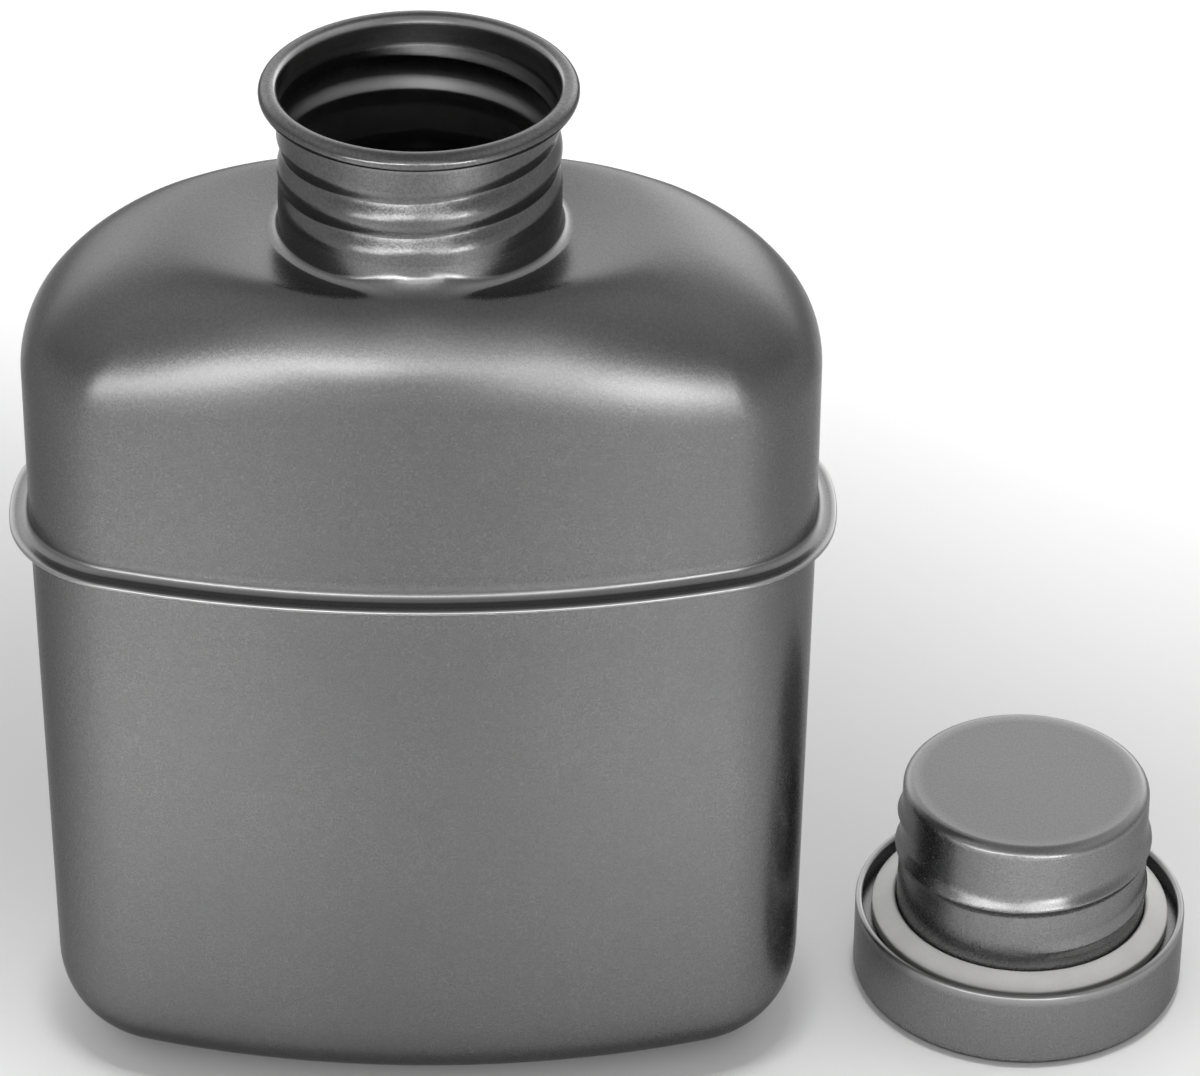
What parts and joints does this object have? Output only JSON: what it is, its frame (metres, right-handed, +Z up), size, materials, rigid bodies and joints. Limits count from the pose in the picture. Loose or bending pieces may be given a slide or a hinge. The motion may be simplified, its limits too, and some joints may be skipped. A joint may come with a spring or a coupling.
{
  "type": "titanium water bottle",
  "caption": "Oval titanium canteen pressed as half shells joined at a seam flange, with a threaded neck and a loose screw cap with a sealing ring standing upside down beside it.",
  "frame": {"origin": "middle of the bottle's flat base, on the neck's axis", "axes": "+Z up along the neck's axis, +X along the bottle's width towards the cap, -Y towards the broad front"},
  "size_m": [0.2142, 0.0755, 0.1928],
  "materials": {
    "body_titanium": "bare titanium sheet, fine bead-blasted, satin grey",
    "cap_titanium": "bare titanium, fine bead-blasted, satin grey",
    "seal_silicone": "pale warm grey moulded silicone, softly glossy"
  },
  "bodies": {
    "bottle": {"upper_shell": "body_titanium", "lower_shell": "body_titanium", "neck": "body_titanium"},
    "seal": {"sealing_ring": "seal_silicone"},
    "cap": {"cap_shell": "cap_titanium", "cap_plug": "cap_titanium"}
  },
  "joints": [
    {"name": "cap_lift", "type": "slide", "parent": "bottle", "child": "seal", "axis": [0, 0, 1], "range_m": [0, 0.25]},
    {"name": "cap_turn", "type": "hinge", "parent": "seal", "child": "cap", "pos_m": [0.1105, 0.0088, 0], "axis": [0, 0, 1], "range_deg": [0, 450]}
  ]
}
